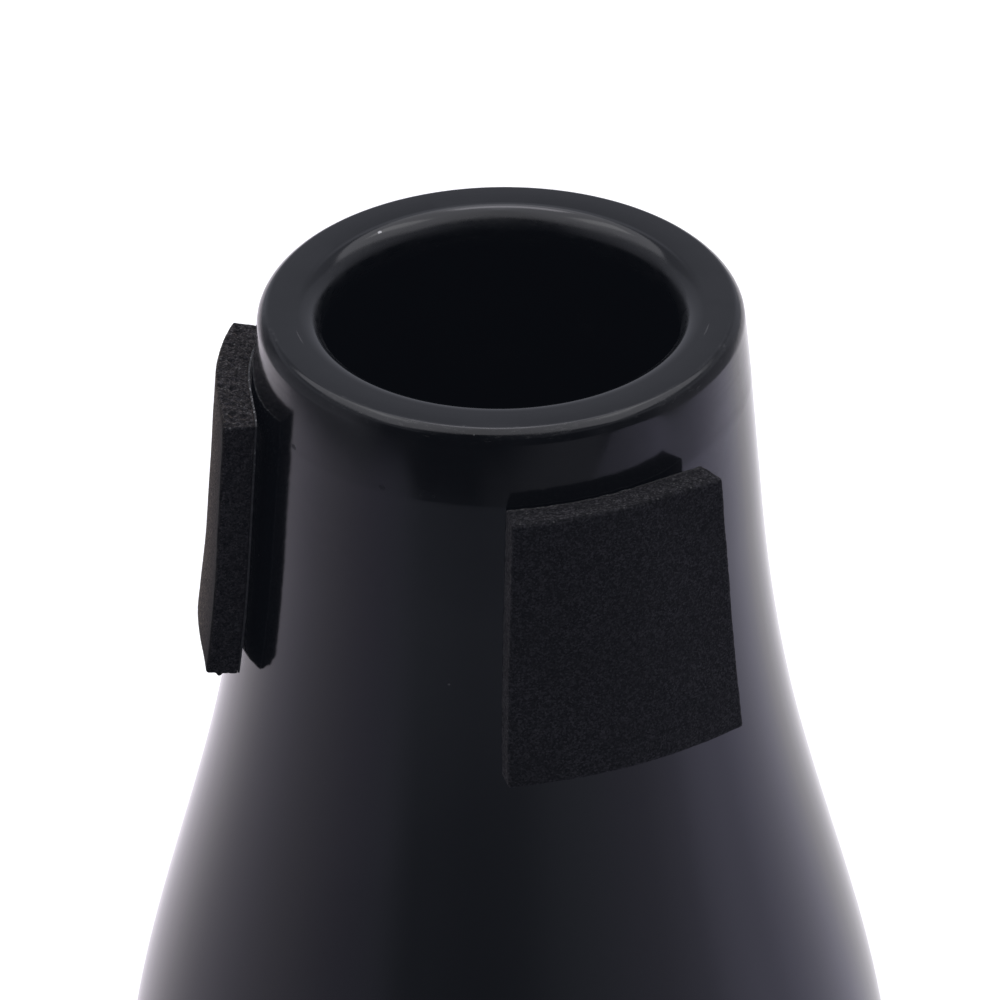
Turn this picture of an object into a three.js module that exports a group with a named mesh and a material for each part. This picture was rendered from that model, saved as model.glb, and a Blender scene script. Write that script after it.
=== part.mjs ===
// A practice mute for a trumpet: a hollow moulded body, a base cap glued into its wide end, and three
// foam pads stuck round the neck. Millimetres, +Z up, origin at the middle of the face it stands on.
// Azimuth is counted round the axis from -Y, positive towards +X.
import * as THREE from 'three';
import { mergeVertices } from 'three/addons/utils/BufferGeometryUtils.js';

// Overall
const height = 96;
const wall = 2.3;
const seatGap = 0.1;

// Outside of the body: the rim's edge and shoulder, then stations counted down from the rim's flat face.
// The neck breaks at a faint ring, where a slightly wider taper above it meets a steeper one.
const rimFaceRadius = 16.4;
const rimEdgeRadius = 0.45;
const rimEdgeDegrees = 60;
const shoulderRadius = 1.3;
const shoulderSlope = 0.115;
const ringBelow = 5.7;
const ringRadius = 17.74;
const ringSlopeAbove = 0.1;
const ringSlopeUnder = 0.072;
const neckBelow = 15.5;
const neckRadius = 18.53;
const neckSlope = 0.078;
const throatBelow = 37.3;
const throatRadius = 21.88;
const throatSlope = 0.242;
const bellyBelow = 72;
const bellyRadius = 29;

// Inside of the body
const boreRadius = 12.7;
const boreLength = 8;
const lipRadius = 1.7;

// Glued lap joint between the body and the base cap, at the widest ring
const skirtThickness = 1.2;
const spigotHeight = 4;
const seamChamfer = 0.25;

// Base cap
const footRadius = 17;
const footWidth = 3.4;
const footHeight = 0.8;
const footFillet = 0.4;
const bellyTangentShare = 0.54;
const footTangentShare = 0.67;

// Foam pads: the pattern that they are cut to, and the adhesive under them
const foamThickness = 2.2;
const foamStretchShare = 0.6;
const padBelow = 5.8;
const padTopWidth = 13.6;
const padFootWidth = 16.2;
const padLength = 20.1;
const cornerLift = 0.5;
const adhesiveThickness = 0.2;
const adhesiveInset = 0.1;
const liftPower = 3;

// Each pad is cut by hand and stuck on by eye, so it has its own middle and tilt in degrees, and its own
// shares of the pattern's sizes, of the distance below the rim, and of the lift at its four corners
const pads = [
  {
    name: 'front_pad', azimuth: 24.2, tilt: 0,
    belowShare: 0.966, topWidthShare: 1.081, footWidthShare: 1.074, lengthShare: 1.02,
    leftTopShare: 0.2, leftFootShare: 0.6, rightTopShare: 1.6, rightFootShare: 0.8,
  },
  {
    name: 'left_pad', azimuth: -88.7, tilt: 0.9,
    belowShare: 0.931, topWidthShare: 1.029, footWidthShare: 0.919, lengthShare: 1.019,
    leftTopShare: 0.42, leftFootShare: 0.8, rightTopShare: 1.74, rightFootShare: 1.48,
  },
  {
    name: 'rear_pad', azimuth: 146, tilt: 1.5,
    belowShare: 1, topWidthShare: 1, footWidthShare: 1, lengthShare: 1,
    leftTopShare: 0.8, leftFootShare: 0.4, rightTopShare: 0.4, rightFootShare: 1,
  },
];

// How finely the curves are divided
const turnSteps = 60;
const curveSteps = 6;
const edgeSteps = 4;
const padColumns = 10;
const padRows = 6;

const plasticLook = { color: 0x131417, roughness: 0.22, metalness: 0 };
const foamLook = { color: 0x242428, roughness: 0.95, metalness: 0 };
const adhesiveLook = { color: 0x1b1b1d, roughness: 0.7, metalness: 0 };

const shoulderDegrees = THREE.MathUtils.radToDeg(Math.atan(shoulderSlope));

// The edge's arc turns down from the flat face, and the shoulder's larger arc carries on from its end
const edgeCentre = new THREE.Vector2(rimFaceRadius, height - rimEdgeRadius);
const edgeEnd = roundPoint(edgeCentre, rimEdgeRadius, rimEdgeDegrees);
const shoulderCentre = roundPoint(edgeEnd, -shoulderRadius, rimEdgeDegrees);
const shoulderEnd = roundPoint(shoulderCentre, shoulderRadius, shoulderDegrees);

// Stations as distance below the rim, radius, and growth of the radius per distance above and under it
const outerStations = [
  { below: height - shoulderEnd.y, radius: shoulderEnd.x, above: shoulderSlope, under: shoulderSlope },
  { below: ringBelow, radius: ringRadius, above: ringSlopeAbove, under: ringSlopeUnder },
  { below: neckBelow, radius: neckRadius, above: neckSlope, under: neckSlope },
  { below: throatBelow, radius: throatRadius, above: throatSlope, under: throatSlope },
  { below: bellyBelow, radius: bellyRadius, above: 0, under: 0 },
];
const innerStations = [
  { below: boreLength, radius: boreRadius, above: 0, under: 0 },
  { below: throatBelow, radius: throatRadius - wall, above: throatSlope, under: throatSlope },
  { below: bellyBelow - spigotHeight - seatGap, radius: bellyRadius - wall, above: 0, under: 0 },
];

const seamHeight = height - bellyBelow;
const spigotRadius = bellyRadius - skirtThickness - seatGap;

// The smooth curve between two stations, in radius and height
function stationCurve(from, to) {
  const third = (to.below - from.below) / 3;
  return new THREE.CubicBezierCurve(
    new THREE.Vector2(from.radius, height - from.below),
    new THREE.Vector2(from.radius + third * from.under, height - from.below - third),
    new THREE.Vector2(to.radius - third * to.above, height - to.below + third),
    new THREE.Vector2(to.radius, height - to.below),
  );
}

// Points down a run of stations
function stationPoints(stations) {
  const points = [];
  for (let i = 1; i < stations.length; i++) {
    points.push(...stationCurve(stations[i - 1], stations[i]).getPoints(curveSteps));
  }
  return points;
}

// The point of a circle in the profile at an angle in degrees, up from level
function roundPoint(centre, radius, degrees) {
  const angle = THREE.MathUtils.degToRad(degrees);
  return new THREE.Vector2(centre.x + radius * Math.cos(angle), centre.y + radius * Math.sin(angle));
}

// Points along an arc in the profile, between two angles in degrees
function roundPoints(centre, radius, fromDegrees, toDegrees) {
  const points = [];
  for (let i = 0; i <= edgeSteps; i++) {
    points.push(roundPoint(centre, radius, fromDegrees + (toDegrees - fromDegrees) * i / edgeSteps));
  }
  return points;
}

// A profile turned about the axis: it starts and ends on the axis, or is closed here
function turned(profile) {
  const points = profile.filter((point, i) => i === 0 || point.distanceTo(profile[i - 1]) > 0);
  if (points[0].x > 0) points.push(points[0].clone());
  points.reverse();
  const lathe = new THREE.LatheGeometry(points, turnSteps);
  lathe.deleteAttribute('normal');
  lathe.deleteAttribute('uv');
  const solid = mergeVertices(lathe);
  solid.rotateX(Math.PI / 2);
  solid.computeVertexNormals();
  return solid;
}

// Body: flared outside, thick rounded rim, open bore, and a thin skirt round the cap's spigot
function bodyShell() {
  const seam = seamHeight + seatGap;
  const rebateTop = seamHeight + spigotHeight + seatGap;
  const lipCentre = new THREE.Vector2(boreRadius + lipRadius, height - lipRadius);
  const outside = stationPoints(outerStations).slice(0, -1);
  const profile = [
    ...roundPoints(lipCentre, lipRadius, 180, 90),
    ...roundPoints(edgeCentre, rimEdgeRadius, 90, rimEdgeDegrees),
    ...roundPoints(shoulderCentre, shoulderRadius, rimEdgeDegrees, shoulderDegrees),
    ...outside,
    new THREE.Vector2(bellyRadius, seam + seamChamfer),
    new THREE.Vector2(bellyRadius - seamChamfer, seam),
    new THREE.Vector2(bellyRadius - skirtThickness, seam),
    new THREE.Vector2(bellyRadius - skirtThickness, rebateTop),
    ...stationPoints(innerStations).reverse(),
  ];
  return turned(profile);
}

// The cap's rounded side, outside at no inset and inside at one wall's inset
function capSide(inset) {
  const side = seamHeight - inset;
  const reach = bellyRadius - footRadius;
  return new THREE.CubicBezierCurve(
    new THREE.Vector2(bellyRadius - inset, seamHeight),
    new THREE.Vector2(bellyRadius - inset, seamHeight - side * bellyTangentShare),
    new THREE.Vector2(footRadius - inset + reach * footTangentShare, inset),
    new THREE.Vector2(footRadius - inset, inset),
  ).getPoints(curveSteps + edgeSteps);
}

// Base cap: a rounded bowl that stands on a low ring, with a spigot that goes up inside the body
function baseCap() {
  const footInside = footRadius - footWidth;
  const profile = [
    new THREE.Vector2(0, wall),
    ...capSide(wall).reverse(),
    new THREE.Vector2(bellyRadius - wall, seamHeight + spigotHeight),
    new THREE.Vector2(spigotRadius - seamChamfer, seamHeight + spigotHeight),
    new THREE.Vector2(spigotRadius, seamHeight + spigotHeight - seamChamfer),
    new THREE.Vector2(spigotRadius, seamHeight),
    new THREE.Vector2(bellyRadius - seamChamfer, seamHeight),
    new THREE.Vector2(bellyRadius, seamHeight - seamChamfer),
    ...capSide(0).slice(1),
    new THREE.Vector2(footInside + footFillet, 0),
    new THREE.Vector2(footInside, footFillet),
    new THREE.Vector2(footInside, footHeight),
    new THREE.Vector2(0, footHeight),
  ];
  return turned(profile);
}

// Radius of the body's outside and its growth downwards, at a distance below the rim
function neckAt(below) {
  const last = outerStations.length - 1;
  let i = 1;
  while (i < last && below > outerStations[i].below) i++;
  const from = outerStations[i - 1];
  const to = outerStations[i];
  const span = to.below - from.below;
  const t = (below - from.below) / span;
  const a = 2 * (from.radius - to.radius) + span * (from.under + to.above);
  const b = 3 * (to.radius - from.radius) - span * (2 * from.under + to.above);
  return {
    radius: ((a * t + b) * t + span * from.under) * t + from.radius,
    slope: ((3 * a * t + 2 * b) * t + span * from.under) / span,
  };
}

// How far a pad stands off the neck at a place on it, beyond its seat
function liftAt(pad, across, down) {
  const [topShare, footShare] = across < 0
    ? [pad.leftTopShare, pad.leftFootShare]
    : [pad.rightTopShare, pad.rightFootShare];
  return cornerLift * (topShare + (footShare - topShare) * down) * Math.abs(across) ** liftPower;
}

// A point of a flat tapered strip wrapped on the neck, inset from the pad's own edges. across runs from
// -1 at its low azimuth edge to 1, down from 0 at its top edge to 1, and depth is the distance out.
function wrapped(pad, across, down, depth, inset) {
  const length = padLength * pad.lengthShare;
  const topWidth = padTopWidth * pad.topWidthShare;
  const footWidth = padFootWidth * pad.footWidthShare;
  const run = inset + down * (length - 2 * inset);
  const halfWidth = (topWidth + (footWidth - topWidth) * run / length) / 2;
  const side = across * (halfWidth - inset);
  const droop = side * Math.tan(THREE.MathUtils.degToRad(pad.tilt));
  const flatBelow = padBelow * pad.belowShare + run - droop;
  const flat = neckAt(flatBelow);
  // A straight edge of the strip droops towards its ends, because the neck is a cone there
  const below = flatBelow + side * side * flat.slope / (2 * flat.radius);
  const neck = neckAt(below);
  const out = depth + liftAt(pad, side / halfWidth, run / length);
  // The foam's outer face stretches only partly as it bends, so it spans a smaller angle
  const bend = neck.radius + out * (1 - foamStretchShare);
  const azimuth = THREE.MathUtils.degToRad(pad.azimuth) + side / bend;
  const level = Math.hypot(1, neck.slope);
  const radius = neck.radius + out / level;
  const z = height - below + out * neck.slope / level;
  return new THREE.Vector3(radius * Math.sin(azimuth), -radius * Math.cos(azimuth), z);
}

// A closed strip between two depths off the neck
function wrappedStrip(pad, fromDepth, toDepth, inset) {
  const positions = [];
  const index = [];
  const rowLength = padColumns + 1;
  const layerLength = rowLength * (padRows + 1);
  for (const depth of [fromDepth, toDepth]) {
    for (let row = 0; row <= padRows; row++) {
      for (let column = 0; column <= padColumns; column++) {
        const across = 2 * column / padColumns - 1;
        positions.push(...wrapped(pad, across, row / padRows, depth, inset).toArray());
      }
    }
  }
  const inner = (row, column) => row * rowLength + column;
  const outer = (row, column) => layerLength + inner(row, column);
  const face = (a, b, c, d) => index.push(a, b, c, a, c, d);
  for (let row = 0; row < padRows; row++) {
    const below = row + 1;
    for (let column = 0; column < padColumns; column++) {
      const next = column + 1;
      face(inner(row, column), inner(row, next), inner(below, next), inner(below, column));
      face(outer(row, column), outer(below, column), outer(below, next), outer(row, next));
    }
    face(inner(row, 0), inner(below, 0), outer(below, 0), outer(row, 0));
    const end = padColumns;
    face(inner(row, end), outer(row, end), outer(below, end), inner(below, end));
  }
  for (let column = 0; column < padColumns; column++) {
    const next = column + 1;
    face(inner(0, column), outer(0, column), outer(0, next), inner(0, next));
    face(inner(padRows, column), inner(padRows, next), outer(padRows, next), outer(padRows, column));
  }
  const strip = new THREE.BufferGeometry();
  strip.setAttribute('position', new THREE.Float32BufferAttribute(positions, 3));
  strip.setIndex(index);
  strip.computeVertexNormals();
  return strip;
}

// A named piece with its own material
function piece(name, geometry, look) {
  const mesh = new THREE.Mesh(geometry, new THREE.MeshStandardMaterial(look));
  mesh.name = name;
  return mesh;
}

const mute = new THREE.Group();
mute.add(piece('body_shell', bodyShell(), plasticLook));
mute.add(piece('base_cap', baseCap(), plasticLook));
for (const pad of pads) {
  const foamDepth = seatGap + adhesiveThickness + seatGap;
  const adhesive = wrappedStrip(pad, seatGap, seatGap + adhesiveThickness, adhesiveInset);
  mute.add(piece(pad.name, wrappedStrip(pad, foamDepth, foamDepth + foamThickness, 0), foamLook));
  mute.add(piece(`${pad.name}_adhesive`, adhesive, adhesiveLook));
}

export default mute;
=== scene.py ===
"""A practice mute for a trumpet: a glossy black moulded body, a glued base cap and three foam pads.

Metres, +Z up, origin at the middle of the face it stands on. Azimuth is counted round the axis from -Y,
positive towards +X. Sizes of the object are written in millimetres and turned into metres by MM.
"""

import math

import bmesh
import bpy
import numpy as np
from mathutils import Matrix, Vector, noise


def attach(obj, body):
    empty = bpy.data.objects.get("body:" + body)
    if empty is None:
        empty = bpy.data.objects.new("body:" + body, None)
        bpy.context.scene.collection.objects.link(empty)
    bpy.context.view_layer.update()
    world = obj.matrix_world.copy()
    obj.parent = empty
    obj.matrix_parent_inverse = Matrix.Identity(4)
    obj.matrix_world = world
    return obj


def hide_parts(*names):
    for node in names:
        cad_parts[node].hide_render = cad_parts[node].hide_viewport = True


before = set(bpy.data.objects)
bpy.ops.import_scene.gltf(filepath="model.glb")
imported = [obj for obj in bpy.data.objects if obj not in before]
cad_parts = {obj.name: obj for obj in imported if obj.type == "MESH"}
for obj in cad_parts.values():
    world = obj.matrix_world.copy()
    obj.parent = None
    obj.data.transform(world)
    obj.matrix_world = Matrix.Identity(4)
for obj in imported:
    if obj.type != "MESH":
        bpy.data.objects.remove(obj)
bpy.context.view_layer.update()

MM = 0.001
SAME_POINT = 1e-6
BODY = "root"

# Body and cap, as the part is built (millimetres)
HEIGHT = 96.0
WALL = 2.3
SEAT_GAP = 0.1
RIM_FACE_RADIUS = 16.4
RIM_EDGE_RADIUS = 0.45
RIM_EDGE_DEGREES = 60.0
SHOULDER_RADIUS = 1.3
SHOULDER_SLOPE = 0.115
RING_BELOW = 5.7
RING_RADIUS = 17.74
RING_SLOPES = (0.1, 0.072)
NECK_BELOW = 15.5
NECK_RADIUS = 18.53
NECK_SLOPE = 0.078
BELLY_BELOW = 72.0
BELLY_RADIUS = 29.0
THROAT_BELOW = 37.3
THROAT_RADIUS = 21.88
THROAT_SLOPE = 0.242
BORE_RADIUS = 12.7
BORE_LENGTH = 8.0
LIP_RADIUS = 1.7
SKIRT_THICKNESS = 1.2
SPIGOT_HEIGHT = 4.0
SEAM_CHAMFER = 0.25
FOOT_RADIUS = 17.0
FOOT_WIDTH = 3.4
FOOT_HEIGHT = 0.8
FOOT_FILLET = 0.4
BELLY_TANGENT_SHARE = 0.54
FOOT_TANGENT_SHARE = 0.67
SEAM_HEIGHT = HEIGHT - BELLY_BELOW
SPIGOT_RADIUS = BELLY_RADIUS - SKIRT_THICKNESS - SEAT_GAP


def round_point(centre, radius, degrees):
    angle = math.radians(degrees)
    return centre[0] + radius * math.cos(angle), centre[1] + radius * math.sin(angle)


# The rim's rounded edge runs on into a wider shoulder
EDGE_CENTRE = (RIM_FACE_RADIUS, HEIGHT - RIM_EDGE_RADIUS)
SHOULDER_CENTRE = round_point(EDGE_CENTRE, RIM_EDGE_RADIUS - SHOULDER_RADIUS, RIM_EDGE_DEGREES)
SHOULDER_DEGREES = math.degrees(math.atan(SHOULDER_SLOPE))
SHOULDER_END = round_point(SHOULDER_CENTRE, SHOULDER_RADIUS, SHOULDER_DEGREES)

# Stations of the outside and the inside: distance below the rim, radius, slopes above and under
OUTER_STATIONS = [
    (HEIGHT - SHOULDER_END[1], SHOULDER_END[0], SHOULDER_SLOPE, SHOULDER_SLOPE),
    (RING_BELOW, RING_RADIUS, *RING_SLOPES),
    (NECK_BELOW, NECK_RADIUS, NECK_SLOPE, NECK_SLOPE),
    (THROAT_BELOW, THROAT_RADIUS, THROAT_SLOPE, THROAT_SLOPE),
    (BELLY_BELOW, BELLY_RADIUS, 0.0, 0.0),
]
INNER_STATIONS = [
    (BORE_LENGTH, BORE_RADIUS, 0.0, 0.0),
    (THROAT_BELOW, THROAT_RADIUS - WALL, THROAT_SLOPE, THROAT_SLOPE),
    (BELLY_BELOW - SPIGOT_HEIGHT - SEAT_GAP, BELLY_RADIUS - WALL, 0.0, 0.0),
]

# Heights of the film's and the foam's faces over the neck (millimetres). They differ a little from the
# part's: the film is thinner, and the foam lies almost on it
FILM_DEPTHS = (0.15, 0.30)
FOAM_BASE = 0.32
FOAM_TOP = 2.6

# Foam pads, as the part is built (millimetres and degrees). Each has its own place, its shares of the
# pattern's sizes, and its corner lifts (left top, left foot, right top, right foot). Then come its looks:
# how pale the foam is, where the differences between the pads are painted light, paler where more light
# falls; how the outer face is painted lighter or darker, as light and shade, in the middle and at the
# right edge; how open it is; how warm its sheen is, which also tints its outer face browner as a painted
# sheen;
# and crumbs as (place in shares of the half sizes, size)
FOAM_STRETCH_SHARE = 0.6
LIFT_POWER = 3
CORNER_LIFT = 0.5
PAD_BELOW = 5.8
PAD_TOP_WIDTH = 13.6
PAD_FOOT_WIDTH = 16.2
PAD_LENGTH = 20.1
PADS = {
    "front_pad": dict(
        azimuth=24.2, tilt=0.0, below=0.966, top=1.081, foot=1.074, length=1.02,
        lifts=(0.2, 0.6, 1.6, 0.8), seed=11, tone=0.262, outer=(1.0, 1.0), pores=0.3, warm=0.3,
        crumbs=[((-0.97, 1.0, 0.5), 0.22), ((0.98, 1.0, 0.2), 0.18)]),
    "left_pad": dict(
        azimuth=-88.7, tilt=0.9, below=0.931, top=1.029, foot=0.919, length=1.019,
        lifts=(0.42, 0.8, 1.74, 1.48), seed=23, tone=0.39, outer=(1.6, 0.12), pores=1.15, warm=1.0,
        crumbs=[((0.97, 1.0, 0.1), 0.30), ((0.9, 1.0, -0.5), 0.22)]),
    "rear_pad": dict(
        azimuth=146.0, tilt=1.5, below=1.0, top=1.0, foot=1.0, length=1.0,
        lifts=(0.8, 0.4, 0.4, 1.0), seed=37, tone=0.33, outer=(1.0, 1.0), pores=0.7, warm=0.5,
        crumbs=[((-0.4, 1.0, 0.3), 0.22)]),
}

# How finely the surfaces are divided
TURN_STEPS = 240
STATION_STEPS = 28
ROUND_STEPS = 14
FOAM_STEP = 0.125
FOAM_LAYERS = 18
FILM_STEPS = (96, 120, 2)

# Edges sharper than this are shaded as edges (degrees)
TURNED_SHARP = 32
FOAM_SHARP = 180
FILM_SHARP = 40

# Surface of the foam (millimetres): how round its edges are, and over which shares of the thickness that
# changes. Then waves and grain as (length, height), and pores as (cell, depth)
SEAT_EDGE = 0.05
OUTER_EDGE = 0.25
EDGE_TURN = (0.35, 0.8)
CUT_WAVE = (1.6, 0.045)
CUT_GRAIN = (0.23, 0.02)
CUT_PORES = [(0.62, 0.17), (0.34, 0.08)]
SKIN_WAVE = (3.5, 0.03)
SKIN_GRAIN = 0.008
SKIN_PORES = (0.3, 0.02)
# Share of closed cells, then how far an open one reaches and how deep it cuts: an even and a random part
CLOSED_CELLS = 0.35
PORE_REACH = (0.16, 0.34)
PORE_DEPTH = (0.4, 0.6)
# Where a pad's pattern starts, per seed, and how high a crumb stands, per size
SEED_SHIFT = (7.3, 3.1)
CRUMB_HEIGHT = 0.9

# By the direction that a point of the foam faces: under SEAT_FACES it lies on the film and stays even, and
# CUT_SHARE says how soon it counts as cut when it turns away from the outer face. The tone changes over
# TONE_TURN, and the last number paints the top cut, which faces up, paler as painted top light
SEAT_FACES = -0.3
CUT_SHARE = 1.4
TONE_TURN = (0.3, 0.9)
TOP_CUT_PAINTED_LIGHT = 0.28

# Cut edge of the film (millimetres), and the share of the pad's length at which its painted glints end
FILM_INSET = 0.03
FILM_WAVE = (0.7, 0.05)
PAINTED_GLINT_END = (0.1, 0.3)

# Where marks on the plastic begin and end (millimetres). From the axis
OUTSIDE = (15.8, 16.2)
LIP_REACH = (13.1, 13.6)
RIM_EDGE_REACH = (16.2, 16.4)
# The same below the rim
FACE_RINGS = (0.15, 0.02)
BAND_FOOT = (5.82, 5.66)
BAND_TOP = (1.4, 0.8)
LIP_FOOT = (3.0, 1.8)
RIM_EDGE_FOOT = (1.1, 0.6)
FACE_ARC_FOOT = (0.3, 0.1)
LIP_GLINT_FOOT = (1.5, 1.0)

# Worn spots on the plastic: centre and half size, by azimuth in degrees and millimetres under the rim
SCUFF = ((-17.5, 5.05), (3.6, 0.45))
BAND_NICKS = [((-55.4, 5.4), (1.2, 0.22)), ((-28.2, 5.3), (1.0, 0.22))]
# The same on the rim, by azimuth in degrees and millimetres from the axis
FACE_ARCS = [((-73.5, 14.76), (4.5, 0.06)), ((75.5, 14.90), (4.0, 0.06))]
# A painted highlight: a bright glint on the lip, centre and half size by azimuth and distance from the
# axis
LIP_GLINT = ((-140.6, 13.63), (0.9, 0.11))
# A paler band on the plastic under the left pad's near edge: soft borders by azimuth and under the rim
PALE_BAND_SIDES = ((-90.0, -86.0), (-76.5, -69.5))
PALE_BAND_ENDS = ((27.0, 26.0), (7.5, 6.7))

# Levels of the studio, in metres and degrees of azimuth, set so that the plastic's reflections agree with
# the photo's. Steps: where each starts and ends, and what it adds. Sectors: the soft border where each
# begins, and the one where it ends
FLOOR_REACH = 4.0
FLOOR_CELLS = 8
FLOOR_ALBEDO = 0.8
FLOOR_GLOW = 0.5
FLOOR_GRAIN_SCALE = 30.0
FLOOR_GRAIN = (0.985, 1.0)
FLOOR_FRONT = 0.26
FLOOR_RISE = 0.80
FLOOR_CURVE = 1.3
FLOOR_FALLS = [(0.12, 0.30, 0.48), (0.35, 0.90, 0.17)]
FLOOR_FIRST = 1.06
FLOOR_STEPS = [(-130, -105, -0.13), (-80, -50, -0.07), (-30, -10, -0.07), (2, 20, 0.21), (50, 62, 0.10),
               (64, 74, 0.21), (78, 92, -0.23), (118, 140, -0.08), (140, 156, 0.03)]
GREEN_FIRST = 0.94
GREEN_STEPS = [(-60, -30, 0.10), (20, 50, -0.07)]
BLUE_FIRST = 0.99
BLUE_STEPS = [(-125, -90, 0.09), (-80, -45, 0.12), (55, 70, 0.03), (92, 115, -0.09), (115, 135, -0.15)]
DARK_SECTOR = ((-46.0, -31.0), (-15.0, 50.0))
FAR_LEFT_SECTOR = ((-125.0, -100.0), (-45.0, -25.0))
FAR_LEFT_FROM = (0.25, 0.34)
FAR_LEFT_LOSS = 0.12
ROOM_TURN = (0.08, 0.48)
ROOM_FRONT = 0.28
ROOM_PALE = 0.45
ROOM_TINT = (1.0, 1.02, 1.17)
ROOM_DARK_SHARE = 0.1
ROOM_HIGH_FROM = (0.498, 0.534)
ROOM_HIGH_SHARE = 0.75
ROOM_WALL = 0.45
ROOM_WALL_BEHIND = (0.97, 1.0)
ROOM_WALL_FROM = (0.56, 0.7)
ROOM_SOFT = 0.7

# Dark card near the rim, seen only in reflections (metres and degrees). By azimuth, in steps: the height
# of its lower edge, how soft that edge is, and how pale the card is
CARD_STEPS = 97
CARD_RADIUS = 0.05
CARD_HEIGHTS = (0.068, 0.112)
CARD_SECTOR = (-136.0, 124.0)
CARD_EDGE_FIRST = 0.0850
CARD_EDGE = [(-127, -118, -0.0060), (-116, -106, -0.0030), (-104, -92, -0.0018), (-72, -60, 0.0004),
             (-57, -42, 0.0020), (28, 50, 0.0069), (51, 72, -0.0048), (75, 96, -0.0012)]
CARD_SOFT_FIRST = 0.0100
CARD_SOFT = [(-116, -106, -0.0049), (-57, -42, 0.0007), (-39, -30, -0.0048), (36, 46, 0.0017),
             (50, 72, -0.0015), (75, 96, 0.0035)]
CARD_LEVEL_FIRST = 0.18
CARD_LEVEL = [(-114, -106, 0.08), (-103, -91, -0.06), (-56, -42, -0.15), (-38, -26, -0.03),
              (-4, 24, 0.18), (34, 44, -0.12), (50, 72, 0.18), (80, 96, 0.05)]
CARD_BLUE = 1.15
CARD_SIDES = ((-134.0, -118.0), (106.0, 122.0))
# Areas of it: the heights between which each fades, its sector, and what it adds or takes away
CARD_PALE_TOP = ((0.0795, 0.0825), ((-112.0, -100.0), (-62.0, -52.0)), 0.13)
CARD_PALE_FOOT = ((0.0785, 0.0835), ((-12.0, -2.0), (6.0, 22.0)), 0.08)
CARD_DARK_TOP = ((0.0848, 0.0856), ((-5.0, 18.0), (28.0, 46.0)), 0.8)
# A thin veil that hangs down from it towards the right
VEIL_FOOT = (0.0728, 0.0738)
VEIL_SECTOR = ((60.0, 72.0), (76.0, 112.0))
VEIL_AFTER = 0.2
VEIL_COVER = 0.4

# Haze of the lens, which lifts the photo's deepest black: a clear pane's glow, and its place in metres
HAZE_GLOW = (0.0026, 0.0030, 0.0043, 1.0)
HAZE_AHEAD = 0.04
HAZE_HALF = 0.006

# Soft lamps over the object: place, size in metres, radiance and colour
PANELS = {
    "ceiling": ((0.0, 0.01, 1.10), (2.4, 1.58), 1.1, (0.99, 0.985, 1.05)),
    "left_strip": ((-0.45, 0.20, 1.05), (0.20, 0.50), 1.1, (1.0, 1.0, 1.0)),
    "right_strip": ((0.45, 0.20, 1.05), (0.20, 0.50), 1.1, (1.0, 1.0, 1.0)),
    "back_panel": ((-0.03, 0.37, 1.05), (0.30, 0.18), 2.5, (1.0, 0.96, 1.04)),
}

# Camera, fitted to the rim's ellipse: millimetres from the rim's centre, degrees and pixels. The clip
# range is in metres
VIEW_DISTANCE = 510.0
VIEW_ELEVATION = 30.982
VIEW_ROLL = -0.634
FOCAL_PIXELS = 7221.2
RIM_CENTRE_PIXEL = (503.59, 304.18)
IMAGE_SIZE = 1000
SENSOR_WIDTH = 36.0
CLIP_RANGE = (0.01, 50.0)


# Shapes

def smoothstep(low, high, x):
    t = np.clip((x - low) / (high - low), 0.0, 1.0)
    return t * t * (3 - 2 * t)


def cubic(start, end):
    """The smooth curve between two stations: its length along the axis, and the cubic of its radius."""
    (b0, r0, _, s0), (b1, r1, s1, _) = start, end
    span = b1 - b0
    return span, (2 * (r0 - r1) + span * (s0 + s1), 3 * (r1 - r0) - span * (2 * s0 + s1), span * s0, r0)


def station_points(stations):
    """Radius and height points of the smooth curve through all stations."""
    points = []
    t = np.linspace(0.0, 1.0, STATION_STEPS + 1)
    for start, end in zip(stations[:-1], stations[1:]):
        span, (a, b, c, d) = cubic(start, end)
        points += zip(((a * t + b) * t + c) * t + d, HEIGHT - start[0] - span * t)
    return points


def round_points(centre, radius, start, end):
    return [round_point(centre, radius, degrees) for degrees in np.linspace(start, end, ROUND_STEPS + 1)]


def bezier_points(controls, steps):
    t = np.linspace(0.0, 1.0, steps + 1)[:, None]
    p = [np.array(c) for c in controls]
    curve = (1 - t) ** 3 * p[0] + 3 * t * (1 - t) ** 2 * p[1] + 3 * t * t * (1 - t) * p[2] + t ** 3 * p[3]
    return [tuple(c) for c in curve]


def turned(name, profile):
    """A solid of revolution from a profile that is closed, or starts and ends on the axis."""
    points = [profile[0]]
    for p in profile[1:]:
        if math.dist(p, points[-1]) > SAME_POINT:
            points.append(p)
    closed = points[0][0] > 0
    if closed and math.dist(points[0], points[-1]) < SAME_POINT:
        points.pop()
    turns = [2 * math.pi * k / TURN_STEPS for k in range(TURN_STEPS)]
    verts, rings = [], []
    for radius, height in points:
        if radius < SAME_POINT:
            rings.append([len(verts)] * TURN_STEPS)
            verts.append((0.0, 0.0, height * MM))
            continue
        rings.append(range(len(verts), len(verts) + TURN_STEPS))
        verts += [(radius * math.sin(a) * MM, -radius * math.cos(a) * MM, height * MM) for a in turns]
    pairs = list(zip(rings[:-1], rings[1:]))
    if closed:
        pairs.append((rings[-1], rings[0]))
    faces = []
    for upper, lower in pairs:
        for k in range(TURN_STEPS):
            n = (k + 1) % TURN_STEPS
            corners = [upper[k], upper[n], lower[n], lower[k]]
            faces.append([c for i, c in enumerate(corners) if c != corners[i - 1]])
    mesh = bpy.data.meshes.new(name)
    mesh.from_pydata(verts, [], faces)
    return finished(name, mesh, TURNED_SHARP)


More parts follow.
